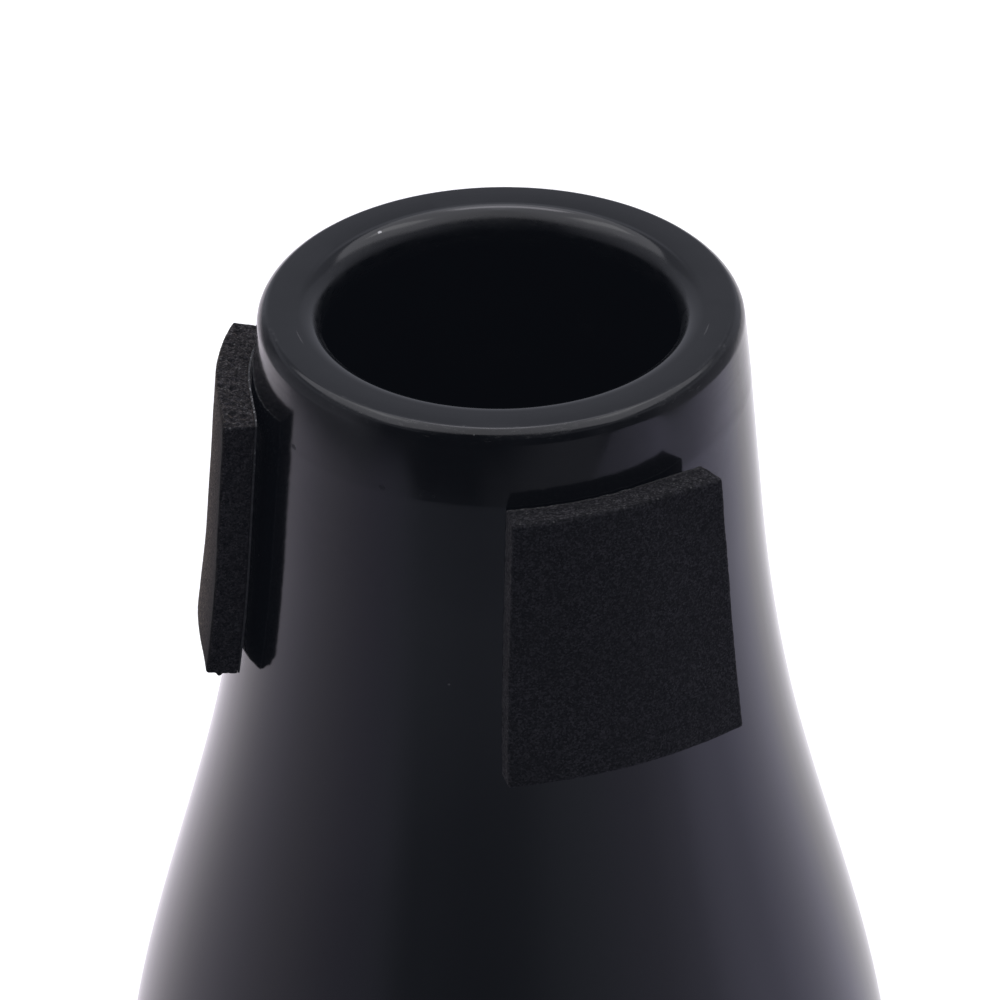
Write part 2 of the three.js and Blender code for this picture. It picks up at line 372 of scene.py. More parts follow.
def finished(name, mesh, sharp_degrees):
    """Faces turned out, shaded smooth but for sharp edges, and put in the scene."""
    work = bmesh.new()
    work.from_mesh(mesh)
    bmesh.ops.recalc_face_normals(work, faces=work.faces)
    work.to_mesh(mesh)
    work.free()
    mesh.shade_smooth()
    mesh.set_sharp_from_angle(angle=math.radians(sharp_degrees))
    piece = bpy.data.objects.new(name, mesh)
    bpy.context.scene.collection.objects.link(piece)
    return piece


def body_profile():
    seam = SEAM_HEIGHT + SEAT_GAP
    rebate_top = SEAM_HEIGHT + SPIGOT_HEIGHT + SEAT_GAP
    return [
        *round_points((BORE_RADIUS + LIP_RADIUS, HEIGHT - LIP_RADIUS), LIP_RADIUS, 180, 90),
        *round_points(EDGE_CENTRE, RIM_EDGE_RADIUS, 90, RIM_EDGE_DEGREES),
        *round_points(SHOULDER_CENTRE, SHOULDER_RADIUS, RIM_EDGE_DEGREES, SHOULDER_DEGREES),
        *station_points(OUTER_STATIONS),
        (BELLY_RADIUS, seam + SEAM_CHAMFER),
        (BELLY_RADIUS - SEAM_CHAMFER, seam),
        (BELLY_RADIUS - SKIRT_THICKNESS, seam),
        (BELLY_RADIUS - SKIRT_THICKNESS, rebate_top),
        *reversed(station_points(INNER_STATIONS)),
    ]


def cap_side(inset):
    side = SEAM_HEIGHT - inset
    reach = BELLY_RADIUS - FOOT_RADIUS
    return bezier_points([
        (BELLY_RADIUS - inset, SEAM_HEIGHT),
        (BELLY_RADIUS - inset, SEAM_HEIGHT - side * BELLY_TANGENT_SHARE),
        (FOOT_RADIUS - inset + reach * FOOT_TANGENT_SHARE, inset),
        (FOOT_RADIUS - inset, inset),
    ], STATION_STEPS)


def cap_profile():
    foot_inside = FOOT_RADIUS - FOOT_WIDTH
    spigot_top = SEAM_HEIGHT + SPIGOT_HEIGHT
    return [
        (0.0, WALL),
        *reversed(cap_side(WALL)),
        (BELLY_RADIUS - WALL, spigot_top),
        (SPIGOT_RADIUS - SEAM_CHAMFER, spigot_top),
        (SPIGOT_RADIUS, spigot_top - SEAM_CHAMFER),
        (SPIGOT_RADIUS, SEAM_HEIGHT),
        (BELLY_RADIUS - SEAM_CHAMFER, SEAM_HEIGHT),
        (BELLY_RADIUS, SEAM_HEIGHT - SEAM_CHAMFER),
        *cap_side(0.0)[1:],
        (foot_inside + FOOT_FILLET, 0.0),
        (foot_inside, FOOT_FILLET),
        (foot_inside, FOOT_HEIGHT),
        (0.0, FOOT_HEIGHT),
    ]


def neck_at(below):
    """Radius of the body's outside and its growth downwards, at distances below the rim."""
    radius, slope = np.zeros_like(below), np.zeros_like(below)
    last = len(OUTER_STATIONS) - 2
    for i, (start, end) in enumerate(zip(OUTER_STATIONS[:-1], OUTER_STATIONS[1:])):
        here = (below > start[0]) if i else np.ones_like(below, bool)
        if i < last:
            here &= below <= end[0]
        span, (a, b, c, d) = cubic(start, end)
        t = (below[here] - start[0]) / span
        radius[here] = ((a * t + b) * t + c) * t + d
        slope[here] = ((3 * a * t + 2 * b) * t + c) / span
    return radius, slope


def half_width(pad, run):
    length = PAD_LENGTH * pad["length"]
    top, foot = PAD_TOP_WIDTH * pad["top"], PAD_FOOT_WIDTH * pad["foot"]
    return (top + (foot - top) * run / length) / 2


def wrapped(pad, side, run, depth):
    """Places of a flat tapered strip's points once it is bent round the neck, in metres."""
    length = PAD_LENGTH * pad["length"]
    flat_below = PAD_BELOW * pad["below"] + run - side * math.tan(math.radians(pad["tilt"]))
    flat_radius, flat_slope = neck_at(flat_below)
    below = flat_below + side ** 2 * flat_slope / (2 * flat_radius)
    radius, slope = neck_at(below)
    left_top, left_foot, right_top, right_foot = (CORNER_LIFT * x for x in pad["lifts"])
    top = np.where(side < 0, left_top, right_top)
    foot = np.where(side < 0, left_foot, right_foot)
    across = np.abs(side) / half_width(pad, run)
    lift = (top + (foot - top) * run / length) * across ** LIFT_POWER
    out = depth + lift
    azimuth = math.radians(pad["azimuth"]) + side / (radius + out * (1 - FOAM_STRETCH_SHARE))
    level = np.hypot(1.0, slope)
    r = radius + out / level
    z = HEIGHT - below + out * slope / level
    return np.stack([r * np.sin(azimuth), -r * np.cos(azimuth), z], 1) * MM


def box_surface(nx, ny, nz):
    """Grid indices of a box's surface points and its quads, with shared edges."""
    ids = -np.ones((nx + 1, ny + 1, nz + 1), int)
    i, j, k = np.meshgrid(np.arange(nx + 1), np.arange(ny + 1), np.arange(nz + 1), indexing="ij")
    shell = (i == 0) | (i == nx) | (j == 0) | (j == ny) | (k == 0) | (k == nz)
    ids[shell] = np.arange(shell.sum())
    cells = np.stack([i[shell], j[shell], k[shell]], 1)
    quads = []
    for plane in (ids[0], ids[nx], ids[:, 0], ids[:, ny], ids[:, :, 0], ids[:, :, nz]):
        corners = [plane[:-1, :-1], plane[1:, :-1], plane[1:, 1:], plane[:-1, 1:]]
        quads.append(np.stack(corners, -1).reshape(-1, 4))
    return cells, np.concatenate(quads)


def pore_depth(point, size):
    """How deep an open foam cell cuts in at a point, 0 to 1. Cells vary in size, and some are closed."""
    distances, centres = noise.voronoi(point / size)
    c = centres[0]
    pick = math.sin(c[0] * 12.9898 + c[1] * 78.233 + c[2] * 37.719) * 43758.5453
    pick -= math.floor(pick)
    reach = PORE_REACH[0] + PORE_REACH[1] * pick
    if pick < CLOSED_CELLS or distances[0] > reach:
        return 0.0
    return math.sqrt(1 - (distances[0] / reach) ** 2) * (PORE_DEPTH[0] + PORE_DEPTH[1] * pick)


def add_marks(mesh, marks):
    """Values at the mesh's points, which the materials read by name."""
    for key, values in marks.items():
        mesh.attributes.new(key, "FLOAT", "POINT").data.foreach_set("value", values.astype(np.float32))


def foam_pad(name, pad):
    """A hand-cut strip of foam: slightly rounded outer edges, uneven cut faces with open pores."""
    length = PAD_LENGTH * pad["length"]
    thickness = FOAM_TOP - FOAM_BASE
    nx = round(PAD_FOOT_WIDTH * pad["foot"] / FOAM_STEP)
    ny = round(length / FOAM_STEP)
    cells, quads = box_surface(nx, ny, FOAM_LAYERS)
    run = cells[:, 1] / ny * length
    depth = cells[:, 2] / FOAM_LAYERS * thickness
    width = half_width(pad, run)
    flat = np.stack([(2 * cells[:, 0] / nx - 1) * width, run - length / 2, depth - thickness / 2], 1)
    half = np.stack([width, np.full_like(run, length / 2), np.full_like(run, thickness / 2)], 1)
    # Edges are rounded more on the outer face than on the seat
    edge = SEAT_EDGE + (OUTER_EDGE - SEAT_EDGE) * smoothstep(*EDGE_TURN, depth / thickness)[:, None]
    core = np.clip(flat, edge - half, half - edge)
    normal = (flat - core) / np.linalg.norm(flat - core, axis=1)[:, None]
    flat = core + normal * edge
    flat = flat + normal * foam_relief(flat, normal, half, pad)[:, None]
    mesh = bpy.data.meshes.new(name)
    run = np.clip(flat[:, 1] + length / 2, 0.0, None)
    places = wrapped(pad, flat[:, 0], run, FOAM_BASE + thickness / 2 + flat[:, 2])
    mesh.from_pydata(places.tolist(), [], quads.tolist())
    # Painted light and shade: the left pad's outer face is painted paler from the middle leftwards and
    # darker towards its right edge, as light falls on it
    first, last = pad["outer"]
    towards = first + (last - first) * np.clip(flat[:, 0] / width, 0, 1)
    tone = pad["tone"] * (1 + smoothstep(*TONE_TURN, normal[:, 2]) * (towards - 1))
    # Painted top light: the top cut, which faces up, is painted paler
    tone = tone * (1 + TOP_CUT_PAINTED_LIGHT * smoothstep(*TONE_TURN, -normal[:, 1]))
    add_marks(mesh, {"cut": 1 - np.clip(normal[:, 2], 0, 1), "top_cut": np.clip(-normal[:, 1], 0, 1),
                     "tone": tone, "warm": np.full(len(places), pad["warm"])})
    return finished(name, mesh, FOAM_SHARP)


def film_strip(name, pad):
    """The adhesive film under a pad. It follows the lifted corners, and its cut edge is a little wavy."""
    length = PAD_LENGTH * pad["length"]
    nx, ny, nz = FILM_STEPS
    cells, quads = box_surface(nx, ny, nz)
    run = cells[:, 1] / ny * length
    side = (2 * cells[:, 0] / nx - 1) * half_width(pad, run)
    wave_length, wave_height = FILM_WAVE
    wave = np.array([noise.noise(Vector((pad["seed"], a / wave_length, b / wave_length)))
                     for a, b in zip(side, run)])
    inset = FILM_INSET + wave_height * wave
    side = side * (1 - inset / half_width(pad, run))
    run = run + np.where(cells[:, 1] == 0, inset, np.where(cells[:, 1] == ny, -inset, 0.0))
    depth = FILM_DEPTHS[0] + cells[:, 2] / nz * (FILM_DEPTHS[1] - FILM_DEPTHS[0])
    mesh = bpy.data.meshes.new(name)
    mesh.from_pydata(wrapped(pad, side, run, depth).tolist(), [], quads.tolist())
    painted_glint_share = pad["pores"] * (1 - smoothstep(*PAINTED_GLINT_END, run / length))
    add_marks(mesh, {"painted_glint_share": painted_glint_share})
    return finished(name, mesh, FILM_SHARP)


def foam_relief(flat, normal, half, pad):
    """How far each point stands out of, or is torn into, the pad's even surface."""
    offset = Vector((pad["seed"] * SEED_SHIFT[0], pad["seed"] * SEED_SHIFT[1], 0.0))
    relief = np.zeros(len(flat))
    for i, (place, out) in enumerate(zip(flat, normal)):
        if out[2] < SEAT_FACES:
            continue
        point = Vector(place) + offset
        cut = min(1.0, CUT_SHARE * (1 - max(out[2], 0.0)))
        grain = noise.noise(point / CUT_GRAIN[0])
        pores = sum(depth * pore_depth(point, size) for size, depth in CUT_PORES)
        torn = CUT_WAVE[1] * noise.noise(point / CUT_WAVE[0]) + CUT_GRAIN[1] * grain
        torn -= pad["pores"] * pores
        skin = SKIN_WAVE[1] * noise.noise(point / SKIN_WAVE[0]) + SKIN_GRAIN * grain
        skin -= SKIN_PORES[1] * pore_depth(point, SKIN_PORES[0])
        relief[i] = cut * torn + (1 - cut) * skin
        for centre, size in pad["crumbs"]:
            far = math.dist(place, np.array(centre) * half[i]) / size
            if far < 1:
                relief[i] += size * CRUMB_HEIGHT * (1 - far * far)
    return relief


# Materials

class Graph:
    """A short way to write a node tree: each call adds one node and returns its output."""

    def __init__(self, tree):
        self.tree = tree
        tree.nodes.clear()

    def add(self, kind, inputs=None, out=0, **settings):
        node = self.tree.nodes.new(kind)
        for key, value in settings.items():
            setattr(node, key, value)
        for key, value in (inputs or {}).items():
            if isinstance(value, bpy.types.NodeSocket):
                self.tree.links.new(value, node.inputs[key])
            else:
                node.inputs[key].default_value = value
        return node.outputs[out] if len(node.outputs) else node

    def math(self, operation, *values, clamp=False):
        return self.add("ShaderNodeMath", dict(enumerate(values)), operation=operation, use_clamp=clamp)

    def ramp(self, value, low, high, to_low=0.0, to_high=1.0):
        """Smooth step from one value to another as the input goes from low to high."""
        inputs = {"Value": value, "From Min": low, "From Max": high, "To Min": to_low, "To Max": to_high}
        return self.add("ShaderNodeMapRange", inputs, interpolation_type="SMOOTHSTEP")

    def mix(self, factor, a, b):
        """A colour between a and b. They may be colours or outputs."""
        node = self.tree.nodes.new("ShaderNodeMix")
        node.data_type = "RGBA"
        for key, value in ((0, factor), (6, a), (7, b)):
            if isinstance(value, bpy.types.NodeSocket):
                self.tree.links.new(value, node.inputs[key])
            else:
                node.inputs[key].default_value = value
        return node.outputs[2]

    def split(self, vector):
        node = self.tree.nodes.new("ShaderNodeSeparateXYZ")
        self.tree.links.new(vector, node.inputs[0])
        return node.outputs

    def product(self, first, *others):
        for other in others:
            first = self.math("MULTIPLY", first, other)
        return first

    def rest(self, value):
        """What a share leaves of 1."""
        return self.math("SUBTRACT", 1.0, value)

    def window(self, value, rise, fall, after=0.0):
        """Two factors that make 1 between two soft borders, 0 before them and a level after them."""
        return self.ramp(value, *rise), self.ramp(value, *fall, 1.0, after)

    def steps(self, value, first, steps):
        """A level that changes in smooth steps as the value grows."""
        for low, high, change in steps:
            first = self.math("ADD", first, self.ramp(value, low, high, 0.0, change))
        return first

    def spot(self, a, b, centre, half):
        """1 at a centre and 0 outside an ellipse, by two coordinates."""
        far = [self.math("POWER", self.math("DIVIDE", self.math("SUBTRACT", v, c), h), 2.0)
               for v, c, h in zip((a, b), centre, half)]
        return self.ramp(self.math("ADD", *far), 0.2, 1.0, 1.0, 0.0)

    def attribute(self, name):
        return self.add("ShaderNodeAttribute", out=2, attribute_name=name)

    def cells(self, vector, scale):
        """A cell pattern: the distance from the middle of each cell, and a random number for each."""
        node = self.tree.nodes.new("ShaderNodeTexVoronoi")
        node.inputs["Scale"].default_value = scale
        self.tree.links.new(vector, node.inputs["Vector"])
        return node.outputs["Distance"], self.add("ShaderNodeSeparateColor", {0: node.outputs["Color"]})

    def scaled(self, vector, x, y, z):
        return self.add("ShaderNodeMapping", {"Vector": vector, "Scale": (x, y, z)})

    def noise(self, vector, scale, detail=2.0, roughness=0.5):
        inputs = {"Vector": vector, "Scale": scale, "Detail": detail, "Roughness": roughness}
        return self.add("ShaderNodeTexNoise", inputs)

    def bump(self, height, distance, strength, normal=None):
        inputs = {"Height": height, "Distance": distance, "Strength": strength}
        if normal is not None:
            inputs["Normal"] = normal
        return self.add("ShaderNodeBump", inputs)

    def tinted(self, colour, tint):
        return self.add("ShaderNodeVectorMath", {0: colour, 1: tint}, operation="MULTIPLY")

    def dimmed(self, colour, level):
        return self.add("ShaderNodeVectorMath", {0: colour, "Scale": level}, operation="SCALE")

    def surface(self, shader):
        self.add("ShaderNodeOutputMaterial", {"Surface": shader})


def new_material(name):
    material = bpy.data.materials.new(name)
    material.use_nodes = True
    return material, Graph(material.node_tree)


def grey(value, tint=(1.0, 1.0, 1.0)):
    return (value * tint[0], value * tint[1], value * tint[2], 1.0)


def heights(from_below, to_below):
    """Two distances below the rim in millimetres, as heights in metres."""
    return (HEIGHT - from_below) * MM, (HEIGHT - to_below) * MM


def from_axis(reach):
    return tuple(radius * MM for radius in reach)


# Plastic: how fine its marks are (per metre), then how rough it is and what each mark adds
RING_SCALE = 9000.0
FACE_PATCH_SCALE = 130.0
STREAK_SCALES = (55.0, 55.0, 4200.0)
PEEL_SCALE = 420.0
SMUDGE_SCALE = 65.0
DUST_SCALE = 520.0
WEAR_SCALE = 420.0
SCUFF_SCALE = 1500.0
SCRATCH_SCALE = 2100.0
# Hairlines: turn of the pattern, its scale, and the level from which it shows
HAIRS = [((0.4, 0.9, 0.3), (45.0, 2600.0, 45.0), 0.72), ((1.1, -0.5, 0.8), (45.0, 45.0, 2300.0), 0.73)]
PLASTIC_IOR = 1.5
PLASTIC_ROUGHNESS = 0.105
SMUDGE_ROUGHNESS = 0.035
RING_ROUGHNESS = 0.05
DUST_ROUGHNESS = 0.3
LIP_ROUGHNESS = 0.14
LIP_WEAR_ROUGHNESS = 0.12
EDGE_WEAR_ROUGHNESS = 0.10
BAND_ROUGHNESS = 0.36
BAND_SHARE = 0.03
STREAK_SHARE = 0.10
BAND_NICK_SHARE = 0.8
# Reliefs: depth in metres and strength
PEEL_RELIEF = (0.00002, 0.22)
RING_RELIEF = (0.000012, 0.35)
HAIR_RELIEF = (0.00001, -0.25)
PLASTIC_CLEAN = grey(0.0011, (0.9, 1.3, 1.7))
PLASTIC_SMUDGED = grey(0.0018, (0.95, 1.2, 1.5))


def rim_spot(g, azimuth, radius, mark):
    """A spot on the rim, by azimuth and distance from the axis, for worn arcs and for the lip's painted
    highlight.
    """
    (turn, out), (half_turn, half_out) = mark
    return g.spot(azimuth, radius, (turn, out * MM), (half_turn, half_out * MM))


def side_spot(g, azimuth, z, mark):
    """A worn spot on the neck, by azimuth and distance below the rim."""
    (turn, below), (half_turn, half_below) = mark
    return g.spot(azimuth, z, (turn, (HEIGHT - below) * MM), (half_turn, half_below * MM))


def moulded_plastic(name):
    """Glossy black plastic with orange peel, a dull turned band under the rim, and signs of use."""
    material, g = new_material(name)
    place = g.add("ShaderNodeTexCoord", out=3)
    x, y, z = g.split(place)
    radius = flat_length(g, x, y)
    azimuth = azimuth_of(g, x, y)
    outside = g.ramp(radius, *from_axis(OUTSIDE))

    # Marks that run round the axis: rings on the rim's flat face, streaks on the band under it
    turn_noise = {"W": g.math("MULTIPLY", radius, RING_SCALE), "Scale": 1.0, "Detail": 3.0}
    rings = g.add("ShaderNodeTexNoise", turn_noise, noise_dimensions="1D")
    patches = g.ramp(g.noise(place, FACE_PATCH_SCALE, 2.0), 0.50, 0.62)
    rings = g.product(rings, g.ramp(z, *heights(*FACE_RINGS)),
                      g.math("ADD", g.math("MULTIPLY", patches, 0.9), 0.35))
    band = g.product(outside, *g.window(z, heights(*BAND_FOOT), heights(*BAND_TOP)))
    streaks = g.noise(g.scaled(place, *STREAK_SCALES), 1.0, 3.0, 0.6)
    peel = g.noise(place, PEEL_SCALE, 2.0)
    smudge = g.ramp(g.noise(place, SMUDGE_SCALE, 4.0, 0.6), 0.35, 0.75)

    # A few hairline scratches in two directions
    hairs = []
    for rotation, scale, low in HAIRS:
        turned_place = g.add("ShaderNodeMapping", {"Vector": place, "Rotation": rotation, "Scale": scale})
        hairs.append(g.ramp(g.noise(turned_place, 1.0, 0.0), low, low + 0.06))
    hair = g.math("ADD", *hairs, clamp=True)

    # Specks of dust
    distance, pick = g.cells(place, DUST_SCALE)
    picked = g.math("GREATER_THAN", pick, 0.93)
    dust = g.math("MULTIPLY", g.ramp(distance, 0.030, 0.055, 1.0, 0.0), picked)

    # A scuff and nicks where the pads' edges were pushed about
    scuff = g.math("MULTIPLY", side_spot(g, azimuth, z, SCUFF),
                   g.ramp(g.noise(g.scaled(place, 1.0, 1.0, 5.0), SCUFF_SCALE, 3.0), 0.54, 0.68))
    nick = g.math("MAXIMUM", *(side_spot(g, azimuth, z, mark) for mark in BAND_NICKS))

    # Worn edges: the lip is duller, and the outer edge is scuffed
    lip = g.product(g.ramp(radius, *from_axis(LIP_REACH), 1.0, 0.0), g.ramp(z, *heights(*LIP_FOOT)))
    rim_edge = g.product(g.ramp(radius, *from_axis(RIM_EDGE_REACH)), g.ramp(z, *heights(*RIM_EDGE_FOOT)))
    wear = g.ramp(g.noise(g.scaled(place, 1.0, 1.0, 3.0), WEAR_SCALE, 3.0, 0.6), 0.40, 0.62)
    lip_rough = g.math("ADD", g.math("MULTIPLY", wear, LIP_WEAR_ROUGHNESS), LIP_ROUGHNESS)
    worn = g.math("ADD", g.product(lip, lip_rough), g.product(rim_edge, wear, EDGE_WEAR_ROUGHNESS))
    scratches = g.product(g.math("MAXIMUM", g.math("MULTIPLY", lip, 0.3), rim_edge), wear,
                          g.ramp(g.noise(g.scaled(place, 1.0, 1.0, 4.0), SCRATCH_SCALE, 2.0), 0.56, 0.68))

    # Two fine arcs on the rim's face, and a painted highlight: a bright glint painted on the lip
    arcs = g.math("MAXIMUM", *(rim_spot(g, azimuth, radius, mark) for mark in FACE_ARCS))
    arcs = g.product(arcs, g.ramp(z, *heights(*FACE_ARC_FOOT)))
    sparkle = g.product(rim_spot(g, azimuth, radius, LIP_GLINT), g.ramp(z, *heights(*LIP_GLINT_FOOT)))

    # A paler band on the body under the near edge of the left pad, where it is lifted
    foot, top = PALE_BAND_ENDS
    pale_band = g.product(*g.window(azimuth, *PALE_BAND_SIDES), *g.window(z, heights(*foot), heights(*top)),
                        g.math("ADD", g.math("MULTIPLY", wear, 0.4), 0.6), outside)

    # Of these marks the sparkle is a painted highlight
    colour = g.mix(smudge, PLASTIC_CLEAN, PLASTIC_SMUDGED)
    for share, paint in ((g.math("MULTIPLY", scratches, 0.6), 0.035), (arcs, 0.04), (pale_band, 0.35),
                         (sparkle, 0.5), (g.math("MULTIPLY", dust, 0.8), 0.10),
                         (g.math("MULTIPLY", scuff, 0.3), 0.05)):
        colour = g.mix(share, colour, grey(paint))
    roughness = g.math("ADD", g.math("MULTIPLY", smudge, SMUDGE_ROUGHNESS),
                       g.math("MULTIPLY", rings, RING_ROUGHNESS))
    dusty = g.math("ADD", g.math("MULTIPLY", dust, DUST_ROUGHNESS), PLASTIC_ROUGHNESS)
    roughness = g.math("ADD", g.math("ADD", roughness, dusty), worn)
    normal = g.bump(peel, *PEEL_RELIEF)
    normal = g.bump(rings, *RING_RELIEF, normal)
    normal = g.bump(hair, *HAIR_RELIEF, normal)
    polished = g.add("ShaderNodeBsdfPrincipled", {
        "Base Color": colour, "Roughness": roughness, "IOR": PLASTIC_IOR, "Normal": normal,
    })

    # The turning marks of the band spread a reflection up and down, not sideways
    dull = g.add("ShaderNodeBsdfPrincipled", {
        "Base Color": colour, "Roughness": BAND_ROUGHNESS, "IOR": PLASTIC_IOR, "Specular IOR Level": 0.3,
        "Anisotropic": 0.8, "Anisotropic Rotation": 0.25,
        "Tangent": g.add("ShaderNodeTangent", direction_type="RADIAL", axis="Z"),
    })
    marked = g.math("ADD", g.math("MULTIPLY", g.ramp(streaks, 0.35, 0.65), STREAK_SHARE), BAND_SHARE)
    share = g.math("MAXIMUM", g.product(band, marked), g.math("MULTIPLY", nick, BAND_NICK_SHARE))
    g.surface(g.add("ShaderNodeMixShader", {0: share, 1: polished, 2: dull}))
    return material


# Foam: how fine its speckle is (per metre), and its colours before each pad's tone
SPECKLE_SCALE = 7800.0
GRAIN_SCALE = 8000.0
SPECK_SCALE = 4300.0
COARSE_SCALE = 3300.0
DRIFT_SCALE = 210.0
FOAM_DARK = grey(0.001, (0.98, 0.98, 1.25))
FOAM_LIGHT = grey(0.130, (1.0, 0.97, 1.10))
FOAM_PATCH = grey(0.020, (1.02, 1.0, 1.0))
FOAM_PORE_SHADE = grey(0.006, (1.0, 1.0, 1.2))
FOAM_SPECK = grey(0.27)
FOAM_SHEEN_BROWN = (1.03, 0.98, 0.80, 1.0)
# Its fuzz: the tints of a cool and a warm pad, then what the grain adds and what is there anyway
FUZZ_COOL = (0.95, 0.95, 1.0, 1.0)
FUZZ_WARM = (1.0, 0.80, 0.62, 1.0)
FUZZ_GRAIN = 0.50
FUZZ_EVEN = 0.06
# Share of all cells that hold no bright speck, from the outer face to the top cut
SPECK_LIMITS = (0.978, 0.84)
FOAM_RELIEF = (0.00008, 0.6)


def foam_material(name):
    """Black closed-cell foam: a fine speckle with a few bright specks, and pores painted dark as shade on
    its top cut.
    """
    material, g = new_material(name)
    place = g.add("ShaderNodeTexCoord", out=3)
    # The tone holds each pad's paleness together with its painted light and shade
    cut, top, tone, warm = (g.attribute(mark) for mark in ("cut", "top_cut", "tone", "warm"))
    speckle = g.noise(place, SPECKLE_SCALE, 1.0, 0.6)
    coarse = g.noise(place, COARSE_SCALE, 2.0, 0.6)
    drift = g.noise(place, DRIFT_SCALE, 2.0, 0.6)

    # Grains of one cell each, and large soft patches
    _, grain = g.cells(place, GRAIN_SCALE)
    grain = g.math("ADD", g.product(grain, grain, 0.8), g.ramp(speckle, 0.42, 0.60, 0.0, 0.2))
    colour = g.mix(grain, FOAM_DARK, FOAM_LIGHT)
    colour = g.mix(g.ramp(drift, 0.40, 0.62, 0.0, 0.22), colour, FOAM_PATCH)

    # Painted shade: dark pores in the top cut, as the shade in its open cells, and bright specks that are
    # more frequent there
    pores = g.product(g.ramp(top, 0.4, 0.9), g.ramp(coarse, 0.44, 0.50, 1.0, 0.0), 0.85)
    colour = g.mix(pores, colour, FOAM_PORE_SHADE)
    distance, pick = g.cells(place, SPECK_SCALE)
    specks = g.product(g.math("GREATER_THAN", pick, g.ramp(top, *TONE_TURN, *SPECK_LIMITS)),
                       g.ramp(distance, 0.20, 0.42, 1.0, 0.0), g.ramp(top, *TONE_TURN, 0.5, 1.0), 0.75)
    colour = g.dimmed(g.mix(specks, colour, FOAM_SPECK), tone)

    # Painted sheen: the outer face of a warm pad is tinted a little browner than its cuts, as its warm
    # sheen looks in grazing light
    sheen_brown = g.product(g.ramp(warm, 0.3, 1.0), g.ramp(cut, 0.0, 1.0, 1.0, 0.0))
    colour = g.tinted(colour, g.mix(sheen_brown, grey(1.0), FOAM_SHEEN_BROWN))

    # The fuzz follows the grain, so that the speckle also shows in grazing light
    fuzz = g.product(tone, g.math("ADD", g.math("MULTIPLY", grain, FUZZ_GRAIN), FUZZ_EVEN))
    height = g.math("ADD", speckle, g.product(coarse, cut, 0.8))
    g.surface(g.add("ShaderNodeBsdfPrincipled", {
        "Base Color": colour, "Roughness": 0.92, "Specular IOR Level": 0.2,
        "Sheen Weight": fuzz, "Sheen Roughness": 0.5,
        "Sheen Tint": g.mix(warm, FUZZ_COOL, FUZZ_WARM),
        "Normal": g.bump(height, *FOAM_RELIEF),
    }))
    return material


# Film: how fine its wrinkles, its painted glints and their patches are (per metre), and its colours
WRINKLE_SCALE = 3500.0
PAINTED_GLINT_SCALE = 5200.0
PAINTED_GLINT_PATCH_SCALE = 190.0
FILM_DARK = grey(0.018)
FILM_PALE = grey(0.050)
FILM_PAINTED_GLINT = grey(0.30)
FILM_RELIEF = (0.00005, 0.8)


def film_material(name):
    """The adhesive film under a pad: dark, with painted glints here and there along its cut edge."""
    material, g = new_material(name)
    place = g.add("ShaderNodeTexCoord", out=3)
    wrinkle = g.noise(place, WRINKLE_SCALE, 3.0, 0.6)
    # Painted highlight: bright glints painted into the film's colour, in patches near the pad's top
    painted_glint_mask = g.product(g.ramp(g.noise(place, PAINTED_GLINT_SCALE, 0.0), 0.60, 0.70),
                      g.ramp(g.noise(place, PAINTED_GLINT_PATCH_SCALE, 1.0), 0.46, 0.56))
    painted_glint_mask = g.math("MULTIPLY", painted_glint_mask, g.attribute("painted_glint_share"), clamp=True)
    colour = g.mix(g.ramp(wrinkle, 0.4, 0.7), FILM_DARK, FILM_PALE)
    colour = g.mix(painted_glint_mask, colour, FILM_PAINTED_GLINT)
    g.surface(g.add("ShaderNodeBsdfPrincipled", {
        "Base Color": colour, "Roughness": 0.5, "IOR": 1.48, "Normal": g.bump(wrinkle, *FILM_RELIEF),
    }))
    return material


# Studio

def flat_length(g, x, y):
    return g.math("SQRT", g.math("ADD", g.math("MULTIPLY", x, x), g.math("MULTIPLY", y, y)))


def azimuth_of(g, x, y):
    """Azimuth of a place or direction in degrees: 0 towards -Y, positive towards +X."""
    return g.math("MULTIPLY", g.math("ARCTAN2", x, g.math("MULTIPLY", y, -1.0)), 180.0 / math.pi)


def behind_share(g, x, y):
    """0 towards -Y, 1 towards +Y, by the azimuth of a place or direction."""
    forward = g.math("DIVIDE", y, g.math("MAXIMUM", flat_length(g, x, y), 1e-5))
    return g.math("ADD", g.math("MULTIPLY", forward, 0.5), 0.5, clamp=True)


def dark_share(g, azimuth):
    """1 in the sector where the room in front of the table is dark."""
    return g.product(*g.window(azimuth, *DARK_SECTOR))


def seen_by(g):
    """1 for camera rays, and 1 for all rays that show the room as it is and do not only light with it."""
    rays = g.tree.nodes.new("ShaderNodeLightPath").outputs
    mirrored = g.math("MAXIMUM", rays["Is Glossy Ray"], rays["Is Transmission Ray"])
    return rays["Is Camera Ray"], g.math("MAXIMUM", rays["Is Camera Ray"], mirrored)


